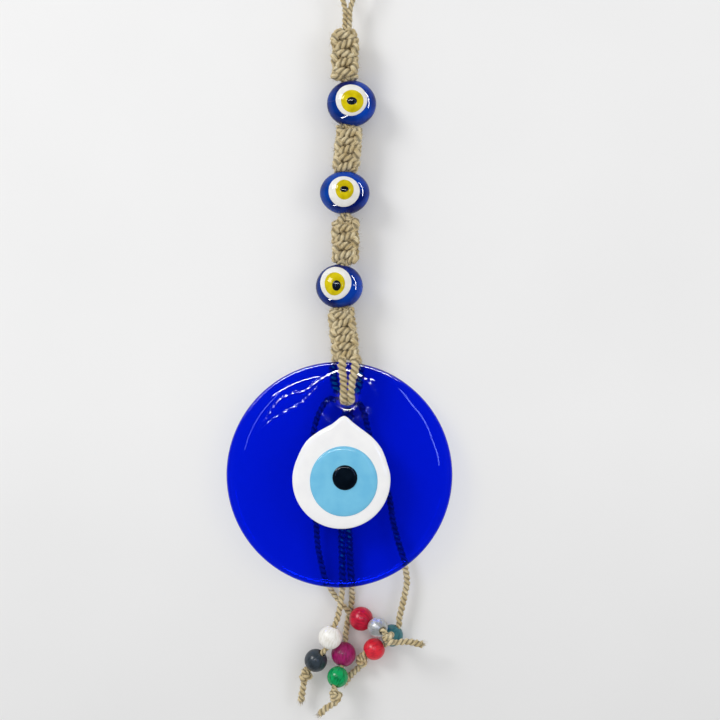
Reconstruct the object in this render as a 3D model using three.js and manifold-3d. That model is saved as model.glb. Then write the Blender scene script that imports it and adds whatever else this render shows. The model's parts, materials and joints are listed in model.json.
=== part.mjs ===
// A wall hanging: a cobalt glass disc with a fused eye, hung from a jute cord knotted in four flat
// bands between three glass eye beads, with four beaded tails below. Millimetres, +Z up.
// The front faces -Y. The origin is the inside top of the hanging loop, where a nail carries it.
import * as THREE from "three";
import { mergeVertices } from "three/addons/utils/BufferGeometryUtils.js";
import Module from "manifold-3d";

const wasm = await Module();
wasm.setup();

// Jute cord and the air left round it
const cordDiameter = 2.2;
const touchGap = 0.3; // between pieces that lie on each other
const boreGap = 0.4; // round a strand or a bundle in a bore
const strandOffset = (cordDiameter + touchGap) / 2; // from the middle of two strands side by side
const cordSides = 8; // corners of its section

// Hanging loop: half of its outline, as x from its middle and z as a share of its drop
const loopShift = -0.9;
const loopDrop = 29.7;
const loopSteps = 28;
const loopSide = [
  [strandOffset, touchGap / loopDrop - 1],
  [strandOffset, -0.842],
  [strandOffset, -0.69],
  [2.2, -0.539],
  [4.2, -0.37],
  [5.6, -0.202],
  [4.4, -0.04],
];

// Knotted bands, from the top down: length, and x of the middle
const bandWidth = 12.4;
const bandDepth = 6;
const bandCorner = 2.2;
const bandEndRound = 0.9;
const bands = [
  { length: 21.6, x: -1.9 },
  { length: 18.5, x: -0.6 },
  { length: 20.9, x: -1.6 },
  { length: 21.2, x: -2.3 },
];
const coreWidth = 2 * cordDiameter;
const coreDepth = cordDiameter;
const neckWidth = coreWidth - 1; // where the core runs into the bundle
const neckDepth = coreDepth - 0.4;
const neckCorner = 0.8;
const bundleDiameter = 2.1 * cordDiameter; // all four strands, packed into an eye bead's bore

// Eye beads, from the top down. The strands run at threadX, a little off the middle of the glass.
const seatGap = 0.4; // between a band and the bead below it
const bendGap = 0.8; // between a bead and the band below it, where the cord bends
const eyeBeadDepth = 17;
const eyeBeads = [
  {
    width: 21.6,
    height: 20.4,
    x: 1.1,
    threadX: -0.8,
    eye: { x: -0.1, z: 1.5, white: 14, iris: 9.9, pupil: 4.2 },
  },
  {
    width: 21.8,
    height: 19.1,
    x: -1.8,
    threadX: -1.5,
    eye: { x: -0.2, z: -0.3, white: 13.7, iris: 8.5, pupil: 3.4 },
  },
  {
    width: 20.8,
    height: 19.5,
    x: -4.2,
    threadX: -2.5,
    eye: { x: -1.3, z: 0.9, white: 14.2, iris: 9.7, pupil: 4.2 },
  },
];
const inlaySeat = 0.7; // how far an inlay reaches into the glass at its rim

// Glass disc and the hole that it hangs by
const discDiameter = 100;
const discThickness = 6;
const discEdgeRound = 1.6;
const discGap = 1.6; // between the last band and the disc's top edge
const discX = -4.2;
const holeDiameter = 8.5;
const holeInset = 16; // the disc's top edge to the middle of the hole
const holeShift = 3.5; // sideways from the disc's middle

// The eye on the disc: three layers of glass, each on the one before, as shares of the disc's
// diameter. A middle is x and z from the disc's middle.
const whiteDiameter = 0.432 * discDiameter;
const whiteTip = 0.283 * discDiameter; // the round part's middle to the tip
const whiteTipHalf = 0.016 * discDiameter;
const whiteTipRound = 0.009 * discDiameter;
const whiteShoulder = 50; // degrees above level, where the round part ends
const whiteWaist = 0.55; // how far in and up the flank's control point lies
const whiteMiddle = [0.009 * discDiameter, -0.025 * discDiameter];
const whiteThickness = 1;
const irisWidth = 0.3 * discDiameter;
const irisHeight = 0.31 * discDiameter;
const irisMiddle = [0.016 * discDiameter, -0.028 * discDiameter];
const irisThickness = 0.8;
const discPupilDiameter = 0.11 * discDiameter;
const discPupilMiddle = [0.025 * discDiameter, -0.015 * discDiameter];
const discPupilThickness = 0.7;

// Knots
const backKnot = { width: 8.4, depth: 5.8, height: 7.2, drop: 3.6, y: 6.3 };
const stopperDiameter = 5.4;
const stopperLength = 6;

// Wooden beads are threaded on the tails
const woodBoreDiameter = cordDiameter + 2 * boreGap;

// Cords round the disc: x and z from the middle of the hole, y as it lies
const frontCords = {
  front_cord_left: [
    [-2.3, -4.6, 13.2],
    [-1.6, -4.7, 8],
    [-strandOffset, -4.6, 2.6],
    [-strandOffset, -2.6, -1.1],
    [-strandOffset, 0.3, -1.5],
    [-strandOffset, 3.2, -1.5],
  ],
  front_cord_right: [
    [3.4, -4.5, 13.2],
    [2.2, -4.7, 8],
    [strandOffset, -4.6, 2.6],
    [strandOffset, -2.6, -1.1],
    [strandOffset, 0.3, -1.5],
    [strandOffset, 3.2, -1.5],
  ],
};
const backCords = {
  back_cord_left: [
    [-6.2, 4.5, 13.6],
    [-6.0, 4.5, 8],
    [-4.6, 4.6, 3],
    [-3.3, 5.1, 0.4],
  ],
  back_cord_right: [
    [5.4, 4.5, 13.6],
    [5.4, 4.5, 8],
    [4.4, 4.6, 3],
    [3.3, 5.1, 0.4],
  ],
};
const cordStart = { y: 3.95, below: 0.5 }; // where a cord leaves the last band
const cordStartX = {
  front_cord_left: -2.2,
  front_cord_right: 3.4,
  back_cord_left: -5.2,
  back_cord_right: 4.6,
};

// Tails. start and behind: x and z from the hole. edgeX: where it crosses the disc's edge, from the
// disc's middle. lead: x and z from the disc's lowest point. end: x and z from the stopper knot.
// Each y is as it lies. An axis is the way the cord runs through a bead or a knot, and spacer is
// the bare cord before it.
const edgeGap = 0.5; // the disc's edge to the point where a tail starts to hang free
const hangGap = 0.27 * cordDiameter; // left in the cord at that point, where it bends
const drawnDiscDiameter = 100; // the routes behind the disc are drawn for this size, and grow with it
const tails = [
  {
    edgeX: -4.75,
    edgeY: 6.4,
    start: [
      [-5, 5.5, -1.6],
      [-7.9, 5, -0.4],
      [-11.3, 4.6, -4.1],
    ],
    behind: [
      [-15.2, 4.5, -15.7],
      [-15.2, 4.5, -36],
      [-13.9, 4.5, -56],
      [-13, 4.9, -67.1],
    ],
    lead: [
      [-0.45, 5.9, -5.98],
      [2.45, 5.6, -9.28],
      [4.85, 5.75, -12.08],
    ],
    beads: [
      { name: "wood_bead_red", diameter: 10.6, axis: [0.85, -0.42, -0.31], spacer: 0.3 },
      { name: "wood_bead_silver", diameter: 8.9, axis: [0.55, -0.81, -0.21], spacer: 0.5 },
    ],
    knot: { axis: [0.65, -0.2, -0.73], spacer: 1 },
    end: [
      [3.5, 0.1, -0.6],
      [8, 1.2, -1.7],
      [14.5, 2.8, -3.3],
    ],
  },
  {
    edgeX: 1.23,
    edgeY: 4.4,
    start: [
      [-1.7, 6, -7.7],
      [-2.7, 4.8, -12.5],
    ],
    behind: [
      [-2.7, 4.6, -38],
      [-2.4, 4.6, -68],
    ],
    lead: [
      [0.88, 3.3, -4.18],
      [0.13, 2.2, -8.58],
      [-0.87, 1, -12.98],
      [-2.17, -0.2, -16.18],
    ],
    beads: [
      { name: "wood_bead_white", diameter: 10.5, axis: [-0.34, 0, -0.94], spacer: 0.3 },
      { name: "wood_bead_black", diameter: 10.1, axis: [-0.6, 0.3, -0.74], spacer: 2.7 },
    ],
    knot: { axis: [-0.35, 0, -0.93], spacer: 0.4 },
    end: [
      [-0.9, 0, -3.5],
      [-1.8, 0.3, -7.4],
      [-2.4, 0.6, -11.5],
    ],
  },
  {
    edgeX: 5.45,
    edgeY: 6.9,
    start: [
      [1.6, 6, -7.7],
      [1.0, 4.8, -12.5],
    ],
    behind: [
      [0.3, 4.6, -38],
      [1.0, 4.8, -68],
    ],
    lead: [
      [5.55, 8.3, -5.1],
      [4.85, 8.35, -10.4],
      [3.65, 8.2, -15.7],
      [2.75, 7.2, -20.9],
      [2.65, 5.95, -24.3],
    ],
    beads: [
      { name: "wood_bead_purple", diameter: 11, axis: [-0.15, -0.35, -0.925], spacer: 0.3 },
      { name: "wood_bead_green", diameter: 9.4, axis: [-0.35, -0.42, -0.84], spacer: 0.3 },
    ],
    knot: { axis: [0.25, -0.1, -0.96], spacer: 0.9 },
    end: [
      [-1.7, 0.3, -3.1],
      [-4.4, 0.6, -5.7],
      [-7.2, 0.9, -8.4],
    ],
  },
  {
    edgeX: 29.11,
    edgeY: 4.4,
    start: [
      [5.3, 5.6, -2.4],
      [6.8, 5, -5],
      [9.6, 4.6, -15.7],
    ],
    behind: [
      [18.4, 4.5, -43.6],
      [20.6, 4.5, -56],
    ],
    lead: [
      [30.01, 4.4, 2.93],
      [29.01, 4.4, -3.27],
      [27.71, 4.4, -9.07],
      [26.61, 4.4, -13.97],
      [26.51, 4.4, -17.27],
    ],
    beads: [
      { name: "wood_bead_teal", diameter: 9.8, axis: [-0.6, 0, -0.8], spacer: 0.3 },
      { name: "wood_bead_scarlet", diameter: 9.6, axis: [-0.92, -0.1, -0.38], spacer: 0.7 },
    ],
    knot: { axis: [-0.3, 0.25, -0.92], spacer: 0.9 },
    end: [
      [-1.8, 0.6, -2.9],
      [-4.8, 2.7, -6.8],
      [-7.5, 4.1, -10.5],
    ],
  },
];

const colours = {
  jute: 0xbba67c,
  beadBlue: 0x04308f,
  beadWhite: 0xf1f0ec,
  beadYellow: 0xe8cb05,
  beadBlack: 0x161c26,
  cobalt: 0x0014d2,
  opal: 0xf3f3f3,
  sky: 0x76c3e8,
  ink: 0x020d18,
  wood_bead_red: 0xc0042e,
  wood_bead_silver: 0xa9aeb2,
  wood_bead_white: 0xefece6,
  wood_bead_black: 0x2c333d,
  wood_bead_purple: 0x7a0550,
  wood_bead_green: 0x06894c,
  wood_bead_teal: 0x2f6f78,
  wood_bead_scarlet: 0xc8102e,
};

const juteRoughness = 0.9;
const glassRoughness = 0.08;
const lacquerRoughness = 0.3;

function finish(colour, roughness, metalness = 0) {
  return new THREE.MeshStandardMaterial({ color: colour, roughness, metalness });
}

const hanging = new THREE.Group();

function place(name, geometry, material, position = [0, 0, 0]) {
  const mesh = new THREE.Mesh(geometry, material);
  mesh.name = name;
  mesh.position.set(...position);
  hanging.add(mesh);
  return mesh;
}

// Geometry and manifold solids, both ways
function toSolid(geometry) {
  const bare = geometry.clone();
  bare.deleteAttribute("normal");
  bare.deleteAttribute("uv");
  const merged = mergeVertices(bare, 1e-4);
  return new wasm.Manifold(
    new wasm.Mesh({
      numProp: 3,
      vertProperties: new Float32Array(merged.attributes.position.array),
      triVerts: new Uint32Array(merged.index.array),
    }),
  );
}

function toGeometry(solid) {
  const mesh = solid.getMesh();
  const geometry = new THREE.BufferGeometry();
  geometry.setAttribute("position", new THREE.BufferAttribute(mesh.vertProperties, 3));
  geometry.setIndex(new THREE.BufferAttribute(mesh.triVerts, 1));
  geometry.computeVertexNormals();
  return geometry;
}

function ellipsoid(width, depth, height, around = 24, down = 14) {
  return new THREE.SphereGeometry(0.5, around, down).scale(width, height, depth).rotateX(Math.PI / 2);
}

// A cylinder that lies along Y, from yFront back to yBack
function rodAlongY(diameter, yFront, yBack, x, z, sides = 24) {
  const rod = new THREE.CylinderGeometry(diameter / 2, diameter / 2, yBack - yFront, sides);
  return rod.translate(x, (yFront + yBack) / 2, z);
}

function polygon(diameter, sides) {
  const corners = [];
  for (let i = 0; i < sides; i++) {
    const angle = (2 * Math.PI * i) / sides;
    corners.push(new THREE.Vector2(Math.cos(angle), Math.sin(angle)).multiplyScalar(diameter / 2));
  }
  return new THREE.Shape(corners);
}

function roundedRectangle(width, depth, corner) {
  const x = width / 2;
  const y = depth / 2;
  const shape = new THREE.Shape();
  shape.absarc(x - corner, y - corner, corner, 0, Math.PI / 2);
  shape.absarc(-x + corner, y - corner, corner, Math.PI / 2, Math.PI);
  shape.absarc(-x + corner, -y + corner, corner, Math.PI, 1.5 * Math.PI);
  shape.absarc(x - corner, -y + corner, corner, 1.5 * Math.PI, 2 * Math.PI);
  return shape;
}

// As long as it is wide, with ends that are all but half circles
function stadium(width, depth) {
  return roundedRectangle(width, depth, 0.498 * depth);
}

// A straight piece of one section, standing on z = 0
function upright(shape, height, endRound = 0) {
  return new THREE.ExtrudeGeometry(shape, {
    depth: height - 2 * endRound,
    bevelEnabled: endRound > 0,
    bevelThickness: endRound,
    bevelSize: endRound,
    bevelOffset: -endRound,
    bevelSegments: 1,
    curveSegments: 2,
  }).translate(0, 0, endRound);
}

// A cord through a list of points, each [x, y, z]
function cord(points, steps) {
  const route = points.map((p) => (p.isVector3 ? p : new THREE.Vector3(...p)));
  return new THREE.ExtrudeGeometry(polygon(cordDiameter, cordSides), {
    steps,
    extrudePath: new THREE.CatmullRomCurve3(route, false, "centripetal"),
    bevelEnabled: false,
  });
}

// Heights, from the loop down
let level = -loopDrop;
for (let i = 0; i < bands.length; i++) {
  const band = bands[i];
  band.top = level;
  band.bottom = level - band.length;
  level = band.bottom - seatGap;
  const bead = eyeBeads[i];
  if (bead) {
    bead.z = level - bead.height / 2;
    level -= bead.height + bendGap;
  }
}
const lastBand = bands[bands.length - 1];
const discTop = lastBand.bottom - discGap;
const discZ = discTop - discDiameter / 2;
const holeX = discX + holeShift;
const holeZ = discTop - holeInset;

function addHangingLoop() {
  const left = loopSide.map(([x, share]) => [-loopShift * share - x, 0, share * loopDrop]);
  const right = loopSide.map(([x, share]) => [-loopShift * share + x, 0, share * loopDrop]);
  const crown = [0, 0, cordDiameter / 2];
  const route = [...left, crown, ...right.reverse()];
  place("hanging_loop", cord(route, loopSteps), finish(colours.jute, juteRoughness));
}

// A band is the working strands knotted round the two core strands. The core runs on through
// the eye bead below, where all four strands fill the bore.
function addBand(band, number, bead) {
  const jute = finish(colours.jute, juteRoughness);
  const section = roundedRectangle(bandWidth, bandDepth, bandCorner);
  const sleeve = toSolid(upright(section, band.length, bandEndRound));
  const slotShape = stadium(coreWidth + 2 * touchGap, coreDepth + 2 * touchGap);
  const coreX = bead ? bead.threadX - band.x : 0;
  const through = 1; // the slot's cutter stands out at both ends
  const channel = upright(slotShape, band.length + 2 * through).translate(coreX, 0, -through);
  const solid = toSolid(upright(stadium(coreWidth, coreDepth), band.length).translate(coreX, 0, 0));
  const foot = [band.x, 0, band.bottom];
  place("sennit_" + number, toGeometry(sleeve.subtract(toSolid(channel))), jute, foot);
  if (!bead) {
    place("core_" + number, toGeometry(solid), jute, foot);
    return;
  }
  const bundleLength = bead.height + seatGap;
  const bundle = new THREE.CylinderGeometry(bundleDiameter / 2, bundleDiameter / 2, bundleLength, 12);
  const overlap = 0.1; // sinks the bundle's top into the core, so that they are one solid
  bundle.rotateX(Math.PI / 2).translate(coreX, 0, overlap - touchGap - bundleLength / 2);
  const neck = upright(roundedRectangle(neckWidth, neckDepth, neckCorner), 2 * touchGap + overlap);
  const joined = solid.add(toSolid(bundle)).add(toSolid(neck.translate(coreX, 0, -1.5 * touchGap)));
  place("core_" + number, toGeometry(joined), jute, foot);
}

// An eye bead is a lamp-worked glass bead with three inlays, each let into the one before
function addEyeBead(bead, number) {
  const glass = ellipsoid(bead.width, eyeBeadDepth, bead.height);
  const whole = toSolid(glass);
  const boreX = bead.threadX - bead.x;
  const boreRadius = bundleDiameter / 2 + boreGap;
  const bore = new THREE.CylinderGeometry(boreRadius, boreRadius, 2 * bead.height, 20);
  const { eye } = bead;
  const reach = Math.hypot(eye.x, eye.z);
  const side = Math.min(bead.width, bead.height) / 2;
  const front = -eyeBeadDepth;

  // y of the floor that an inlay of this diameter stands on
  function floorOf(diameter) {
    const share = (reach + diameter / 2) / side;
    return -(eyeBeadDepth / 2) * Math.sqrt(1 - share * share) + inlaySeat;
  }
  function pocket(diameter) {
    return toSolid(rodAlongY(diameter + 2 * touchGap, front, floorOf(diameter), eye.x, eye.z));
  }
  function inlay(diameter, pupil) {
    const plug = toSolid(rodAlongY(diameter, front, floorOf(diameter) - touchGap, eye.x, eye.z));
    const layer = whole.intersect(plug);
    return pupil ? layer.subtract(pocket(pupil)) : layer;
  }

  const hole = toSolid(bore.rotateX(Math.PI / 2).translate(boreX, 0, 0));
  const body = whole.subtract(hole).subtract(pocket(eye.white));
  const layers = {
    glass: [body, colours.beadBlue],
    white: [inlay(eye.white, eye.iris), colours.beadWhite],
    iris: [inlay(eye.iris, eye.pupil), colours.beadYellow],
    pupil: [inlay(eye.pupil), colours.beadBlack],
  };
  for (const [layer, [solid, colour]] of Object.entries(layers)) {
    const name = "eye_bead_" + number + "_" + layer;
    place(name, toGeometry(solid), finish(colour, glassRoughness), [bead.x, 0, bead.z]);
  }
}

// The disc is turned about Y, with a rounded rim
function addDisc() {
  const radius = discDiameter / 2;
  const half = discThickness / 2;
  const profile = [new THREE.Vector2(0, -half)];
  const arcSteps = 3;
  const sides = 60;
  for (const side of [-1, 1]) {
    for (let i = 0; i <= arcSteps; i++) {
      const turn = (Math.PI / 2) * (i / arcSteps);
      const angle = side < 0 ? turn - Math.PI / 2 : turn;
      const x = radius - discEdgeRound + discEdgeRound * Math.cos(angle);
      const y = side * (half - discEdgeRound) + discEdgeRound * Math.sin(angle);
      profile.push(new THREE.Vector2(x, y));
    }
  }
  profile.push(new THREE.Vector2(0, half));
  const plate = toSolid(new THREE.LatheGeometry(profile, sides));
  const hole = rodAlongY(holeDiameter, -discThickness, discThickness, holeShift, radius - holeInset);
  const glass = toGeometry(plate.subtract(toSolid(hole)));
  place("disc_glass", glass, finish(colours.cobalt, glassRoughness), [discX, 0, discZ]);
}

// A layer of the eye, lying on the front of what is behind it. Returns the y of its own front.
function addLayer(name, shape, thickness, yBehind, colour, [x, z]) {
  const back = yBehind - touchGap;
  const plate = new THREE.ExtrudeGeometry(shape, {
    depth: thickness,
    bevelEnabled: false,
    curveSegments: 14,
  }).rotateX(Math.PI / 2);
  place(name, plate, finish(colour, glassRoughness), [discX + x, back, discZ + z]);
  return back - thickness;
}

// Drawn in x and z: a circle whose top runs up to a soft point
function dropOutline() {
  const radius = whiteDiameter / 2;
  const shoulder = (whiteShoulder * Math.PI) / 180;
  const shoulderX = radius * Math.cos(shoulder);
  const shoulderZ = radius * Math.sin(shoulder);
  const waistX = shoulderX * whiteWaist;
  const waistZ = shoulderZ + (whiteTip - shoulderZ) * whiteWaist;
  const tipZ = whiteTip - whiteTipRound;
  const shape = new THREE.Shape();
  shape.moveTo(shoulderX, shoulderZ);
  shape.quadraticCurveTo(waistX, waistZ, whiteTipHalf, tipZ);
  shape.quadraticCurveTo(0, whiteTip + whiteTipRound, -whiteTipHalf, tipZ);
  shape.quadraticCurveTo(-waistX, waistZ, -shoulderX, shoulderZ);
  shape.absarc(0, 0, radius, Math.PI - shoulder, 2 * Math.PI + shoulder);
  return shape;
}

function ovalOutline(width, height) {
  const shape = new THREE.Shape();
  shape.absellipse(0, 0, width / 2, height / 2, 0, 2 * Math.PI);
  return shape;
}

function addDiscEye() {
  const iris = ovalOutline(irisWidth, irisHeight);
  const pupil = ovalOutline(discPupilDiameter, discPupilDiameter);
  let front = -discThickness / 2;
  front = addLayer("disc_white", dropOutline(), whiteThickness, front, colours.opal, whiteMiddle);
  front = addLayer("disc_iris", iris, irisThickness, front, colours.sky, irisMiddle);
  addLayer("disc_pupil", pupil, discPupilThickness, front, colours.ink, discPupilMiddle);
}

function fromHole([x, y, z]) {
  return [holeX + x, y, holeZ + z];
}

// Two cords pass in front of the disc and through the hole, two pass behind it, and all four
// meet in the knot behind the hole
function addDiscCords() {
  for (const [name, points] of Object.entries({ ...frontCords, ...backCords })) {
    const side = name.startsWith("front") ? -1 : 1;
    const start = [cordStartX[name], side * cordStart.y, lastBand.bottom - cordStart.below];
    place(name, cord([start, ...points.map(fromHole)], 12), finish(colours.jute, juteRoughness));
  }
  const knot = ellipsoid(backKnot.width, backKnot.depth, backKnot.height, 12, 8);
  place("back_knot", knot, finish(colours.jute, juteRoughness), [holeX, backKnot.y, holeZ - backKnot.drop]);
}

// A turned wooden bead about Y: an arc from mouth to mouth, closed by its bore
function woodBead(diameter) {
  const bore = woodBoreDiameter / 2;
  const mouth = Math.acos((2 * bore) / diameter);
  const arcSteps = 7;
  const profile = [];
  for (let i = 0; i <= arcSteps; i++) {
    const angle = mouth * ((2 * i) / arcSteps - 1);
    profile.push(new THREE.Vector2(Math.cos(angle), Math.sin(angle)).multiplyScalar(diameter / 2));
  }
  profile.push(profile[0].clone());
  return new THREE.LatheGeometry(profile, 16);
}

const upY = new THREE.Vector3(0, 1, 0);

function addTail(tail, number) {
  const jute = finish(colours.jute, juteRoughness);
  const reach = discDiameter / 2 + edgeGap;
  const edgeZ = discZ - Math.sqrt(reach * reach - tail.edgeX * tail.edgeX);
  const edge = new THREE.Vector3(discX + tail.edgeX, tail.edgeY, edgeZ);
  const spread = discDiameter / drawnDiscDiameter;
  const routeBehind = tail.behind.map(([x, y, z]) => [spread * x, y, spread * z]);
  const behind = [...tail.start, ...routeBehind].map((p) => new THREE.Vector3(...fromHole(p)));
  const lastBehind = behind[behind.length - 1];
  const halfGap = hangGap / 2;
  const towardsEdge = edge.clone().sub(lastBehind).normalize();
  const upperEnd = edge.clone().addScaledVector(towardsEdge, -halfGap);
  place("tail_" + number + "_upper", cord([...behind, upperEnd], 16), jute);

  const lead = tail.lead.map(([x, y, z]) => new THREE.Vector3(discX + x, y, discZ - reach + z));
  const away = lead[0].clone().sub(edge).normalize();
  const route = [edge.clone().addScaledVector(away, halfGap), ...lead];

  // Walk down the cord, from the mouth of one bead to the next
  let mouth = lead[lead.length - 1].clone();
  for (const bead of tail.beads) {
    const axis = new THREE.Vector3(...bead.axis).normalize();
    const radius = bead.diameter / 2;
    const centre = mouth.clone().addScaledVector(axis, bead.spacer + radius);
    const mesh = place(bead.name, woodBead(bead.diameter), finish(colours[bead.name], lacquerRoughness));
    mesh.position.copy(centre);
    mesh.quaternion.setFromUnitVectors(upY, axis);
    mouth = centre.clone().addScaledVector(axis, radius);
    route.push(centre.clone().addScaledVector(axis, -radius), centre, mouth);
  }

  const along = new THREE.Vector3(...tail.knot.axis).normalize();
  const knotMiddle = mouth.clone().addScaledVector(along, tail.knot.spacer + stopperLength / 2);
  const knotGeometry = ellipsoid(stopperDiameter, stopperDiameter, stopperLength, 12, 8);
  knotGeometry.rotateX(Math.PI / 2);
  const knot = place("tail_" + number + "_knot", knotGeometry, finish(colours.jute, juteRoughness));
  knot.position.copy(knotMiddle);
  knot.quaternion.setFromUnitVectors(upY, along);
  route.push(knotMiddle.clone().addScaledVector(along, -stopperLength / 2 - touchGap));
  place("tail_" + number + "_cord", cord(route, 24), finish(colours.jute, juteRoughness));

  const end = tail.end.map(([x, y, z]) => new THREE.Vector3(x, y, z).add(knotMiddle));
  place("tail_" + number + "_end", cord(end, 5), finish(colours.jute, juteRoughness));
}

addHangingLoop();
bands.forEach((band, i) => addBand(band, i + 1, eyeBeads[i]));
eyeBeads.forEach((bead, i) => addEyeBead(bead, i + 1));
addDisc();
addDiscEye();
addDiscCords();
tails.forEach((tail, i) => addTail(tail, i + 1));

export default hanging;
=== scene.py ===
# Evil eye wall hanging in cobalt glass, jute twine and painted wooden beads, built round its CAD frame.
# +Z up, the front faces -Y, the origin is the inside top of the hanging loop. Tables are in
# millimetres, and the meshes are made in metres.
import json
import math

import bpy
import numpy as np
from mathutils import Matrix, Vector


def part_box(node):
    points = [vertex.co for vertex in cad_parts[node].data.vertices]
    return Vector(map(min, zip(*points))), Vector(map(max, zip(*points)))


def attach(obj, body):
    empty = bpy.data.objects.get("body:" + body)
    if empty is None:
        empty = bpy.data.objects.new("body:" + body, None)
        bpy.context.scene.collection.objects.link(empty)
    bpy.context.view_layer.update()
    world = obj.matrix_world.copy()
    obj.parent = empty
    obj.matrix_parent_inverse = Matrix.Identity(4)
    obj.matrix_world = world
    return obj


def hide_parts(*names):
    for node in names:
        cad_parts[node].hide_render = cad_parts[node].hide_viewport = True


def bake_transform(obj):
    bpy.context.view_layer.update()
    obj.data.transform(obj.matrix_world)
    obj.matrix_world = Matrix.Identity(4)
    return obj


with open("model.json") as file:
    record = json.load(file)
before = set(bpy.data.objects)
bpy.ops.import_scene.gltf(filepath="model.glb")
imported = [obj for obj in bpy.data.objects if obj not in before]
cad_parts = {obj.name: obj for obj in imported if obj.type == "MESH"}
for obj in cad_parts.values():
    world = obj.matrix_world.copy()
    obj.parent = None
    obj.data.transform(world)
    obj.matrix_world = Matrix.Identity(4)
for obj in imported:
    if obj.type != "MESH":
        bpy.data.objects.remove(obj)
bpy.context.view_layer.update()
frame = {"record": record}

mm = 0.001
rng = np.random.default_rng(7)
bodyOf = {n: body for body, members in frame["record"]["behaviour"]["bodies"].items() for n in members}


def boxMiddle(node):  # in millimetres
    low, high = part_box(node)
    return np.array((low + high) / 2) / mm


# Camera, wall and light
view = {"lens": 70.0, "middle": (4.9, -175.3), "distance": 619.5, "wallY": 9.6, "wallZ": -175.0,
        "wallReach": 1400.0}
scene = bpy.context.scene

cameraData = bpy.data.cameras.new("camera")
cameraData.lens = view["lens"]
cameraData.clip_end = 20
camera = bpy.data.objects.new("camera", cameraData)
camera.location = (view["middle"][0] * mm, -view["distance"] * mm, view["middle"][1] * mm)
camera.rotation_euler = (math.pi / 2, 0, 0)
scene.collection.objects.link(camera)
scene.camera = camera
scene.view_settings.view_transform = "Standard"


def hexToLinear(code):
    parts = [int(code[i : i + 2], 16) / 255 for i in (1, 3, 5)]
    return (*[c / 12.92 if c <= 0.04045 else ((c + 0.055) / 1.055) ** 2.4 for c in parts], 1.0)


# A ramp's settings hold its stops, as (place, hex colour)
def addNode(tree, kind, settings=None, links=None):
    node = tree.nodes.new(kind)
    for key, value in (settings or {}).items():
        if key == "stops":
            elements = node.color_ramp.elements
            while len(elements) < len(value):
                elements.new(0.5)
            for element, (place, code) in zip(elements, value):
                element.position = place
                element.color = hexToLinear(code)
        elif isinstance(key, str) and hasattr(node, key):
            setattr(node, key, value)
        else:
            node.inputs[key].default_value = value
    for key, source in (links or {}).items():
        tree.links.new(source, node.inputs[key])
    return node


def newMaterial(name):
    material = bpy.data.materials.new(name)
    material.use_nodes = True
    material.node_tree.nodes.clear()
    return material, material.node_tree


def addMesh(name, verts, faces, material, uvs=None, smooth=True):
    mesh = bpy.data.meshes.new(name)
    mesh.from_pydata((np.asarray(verts) * mm).tolist(), [], faces)
    if uvs is not None:
        layer = mesh.uv_layers.new(name="along")
        layer.data.foreach_set("uv", np.asarray(uvs, np.float32).ravel())
    mesh.polygons.foreach_set("use_smooth", [smooth] * len(mesh.polygons))
    mesh.materials.append(material)
    piece = bpy.data.objects.new(name, mesh)
    scene.collection.objects.link(piece)
    return piece


def settle(piece, node, slotName, *others):  # rides on its node's body and stands for the nodes
    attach(piece, bodyOf[node])
    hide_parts(node, *others)
    return piece


# A glint is only mirrored, and a glow is never mirrored
def addLamp(name, place, aim, width, height, watts, colour, only=None):
    data = bpy.data.lights.new(name, "AREA")
    data.shape = "RECTANGLE"
    data.size, data.size_y = width, height
    data.energy = watts
    data.color = hexToLinear(colour)[:3]
    lamp = bpy.data.objects.new(name, data)
    lamp.location = place
    lamp.rotation_euler = Vector(np.array(aim) - np.array(place)).to_track_quat("-Z", "Y").to_euler()
    lamp.visible_diffuse = only != "glint"
    lamp.visible_glossy = only != "glow"
    scene.collection.objects.link(lamp)
    return lamp


# the wall's colour for reflections is a painted reflection: grey in place of its white
room = {"wallLight": 0.7, "mirrored": 0.1, "gloom": 0.01, "edge": (0.55, 0.92), "wallPaintedReflection": "#C8C8C8"}
middle = (0, 0, view["middle"][1] * mm)
addLamp("softbox", (-0.9, -0.9, 0.55), middle, 0.5, 0.5, 7.0, "#FFFFFF")
addLamp("fill", (0.95, -0.95, 0.0), middle, 0.4, 0.7, 1.6, "#FFFFFF", "glow")
addLamp("leftTube", (-0.33, -1.15, -0.02), middle, 0.03, 0.45, 0.25, "#9FB6FF", "glint")
addLamp("rightTube", (0.36, -1.15, -0.02), middle, 0.05, 0.5, 0.6, "#9FB6FF", "glint")
addLamp("topTube", (-0.14, -1.15, 0.13), middle, 0.56, 0.018, 1.6, "#FFFFFF", "glint")
rippleGlint = addLamp("rippleGlint", (-0.1, -0.75, 0.8), (0, 0, -0.2), 1.5, 0.5, 80.0, "#FFFFFF", "glint")
beadLamps = [
    addLamp("lowGlint", (-0.55, -0.36, -1.2), (0, 0, -0.06), 2.4, 0.1, 50.0, "#FFFFFF", "glint"),
    addLamp("rightGlint", (1.2, -0.28, 0.25), (0, 0, -0.06), 0.1, 1.4, 28.0, "#FFFFFF", "glint"),
    addLamp("rightGlow", (0.9, -0.35, 0.1), (0, 0, -0.1), 0.4, 0.4, 5.0, "#8FC4FF", "glow"),
]


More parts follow.
